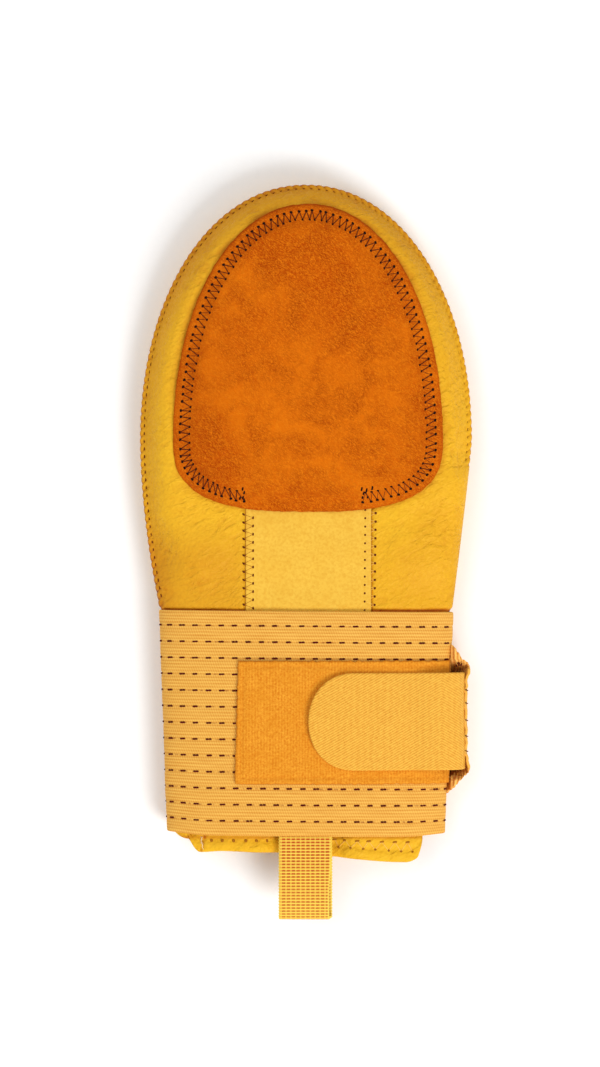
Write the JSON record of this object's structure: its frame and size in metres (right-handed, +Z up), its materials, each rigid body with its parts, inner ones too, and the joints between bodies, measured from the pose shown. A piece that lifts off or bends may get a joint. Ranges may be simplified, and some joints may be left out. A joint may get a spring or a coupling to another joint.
{
  "type": "baseball sliding mitt",
  "caption": "Padded leather mitt shaped like a broad paddle, with a suede palm pad, elastic wrist band, hook strap and webbing pull loop",
  "frame": {"origin": "under the middle of the whole mitt, on the surface that it lies on", "axes": "+Y towards the fingertips, +Z up through the suede pad, +X to the side that the strap comes round"},
  "size_m": [0.1528, 0.3376, 0.03],
  "materials": {
    "yellow_leather": "soft garment leather, satin, fine grain",
    "suede": "matte split suede with a short nap",
    "stretch_cloth": "matte knitted stretch cloth",
    "band_elastic": "ribbed woven elastic with dark dashes",
    "fuzzy_tape": "brushed loop tape, fuzzy and matte",
    "strap_twill": "plain back of hook tape, fine diagonal weave",
    "loop_webbing": "ribbed polyester webbing, slight sheen"
  },
  "bodies": {
    "root": {"front_leather": "yellow_leather", "back_panel": "yellow_leather", "center_panel": "stretch_cloth", "suede_pad": "suede", "wrist_band": "band_elastic", "cuff": "yellow_leather", "loop_patch": "fuzzy_tape", "hook_strap": "strap_twill", "strap_root": "fuzzy_tape", "pull_loop": "loop_webbing"}
  },
  "joints": []
}
